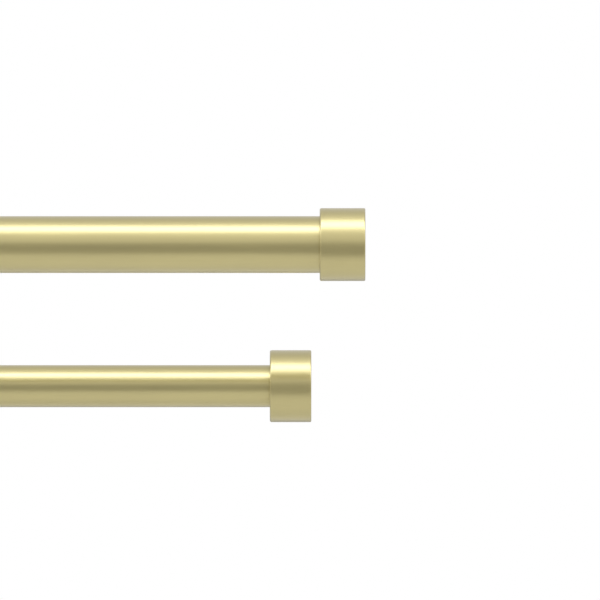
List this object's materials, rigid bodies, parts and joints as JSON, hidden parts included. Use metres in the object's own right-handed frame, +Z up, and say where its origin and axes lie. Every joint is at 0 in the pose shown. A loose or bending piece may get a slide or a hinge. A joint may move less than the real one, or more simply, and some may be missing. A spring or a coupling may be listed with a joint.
{
  "type": "double curtain pole",
  "caption": "Telescopic double curtain pole in satin brass: a thick and a thin tube with plain cylindrical end caps, held in open cradles on round wall brackets.",
  "frame": {"origin": "on the wall plane, in the middle of the screw holes of both wall plates", "axes": "+X along the poles towards the fixed right-hand ends, +Y into the wall, +Z up"},
  "size_m": [1, 0.1843, 0.096],
  "materials": {
    "satin_brass": "satin pale-brass plating over steel",
    "nylon": "moulded natural nylon",
    "dark_steel": "black oxide screw steel"
  },
  "bodies": {
    "bracketed_poles": {"front_outer_tube": "satin_brass", "front_cap_right": "satin_brass", "front_cap_screw_right": "dark_steel", "front_clamp_screw_left": "satin_brass", "front_clamp_screw_right": "satin_brass", "back_outer_tube": "satin_brass", "back_cap_right": "satin_brass", "back_cap_screw_right": "dark_steel", "back_clamp_screw_left": "satin_brass", "back_clamp_screw_right": "satin_brass", "wall_plate_left": "satin_brass", "bracket_arm_left": "satin_brass", "arm_lock_screw_left": "dark_steel", "wall_plate_right": "satin_brass", "bracket_arm_right": "satin_brass", "arm_lock_screw_right": "dark_steel"},
    "front_slider": {"front_inner_tube": "satin_brass", "front_slide_guide": "nylon", "front_cap_sleeve": "nylon", "front_cap_left": "satin_brass", "front_cap_screw_left": "dark_steel"},
    "back_slider": {"back_inner_tube": "satin_brass", "back_slide_guide": "nylon", "back_cap_sleeve": "nylon", "back_cap_left": "satin_brass", "back_cap_screw_left": "dark_steel"}
  },
  "joints": [
    {"name": "front_extend", "type": "slide", "parent": "bracketed_poles", "child": "front_slider", "axis": [-1, 0, 0], "range_m": [-0.0856, 0.676]},
    {"name": "back_extend", "type": "slide", "parent": "bracketed_poles", "child": "back_slider", "axis": [-1, 0, 0], "range_m": [-0.0856, 0.63]}
  ]
}
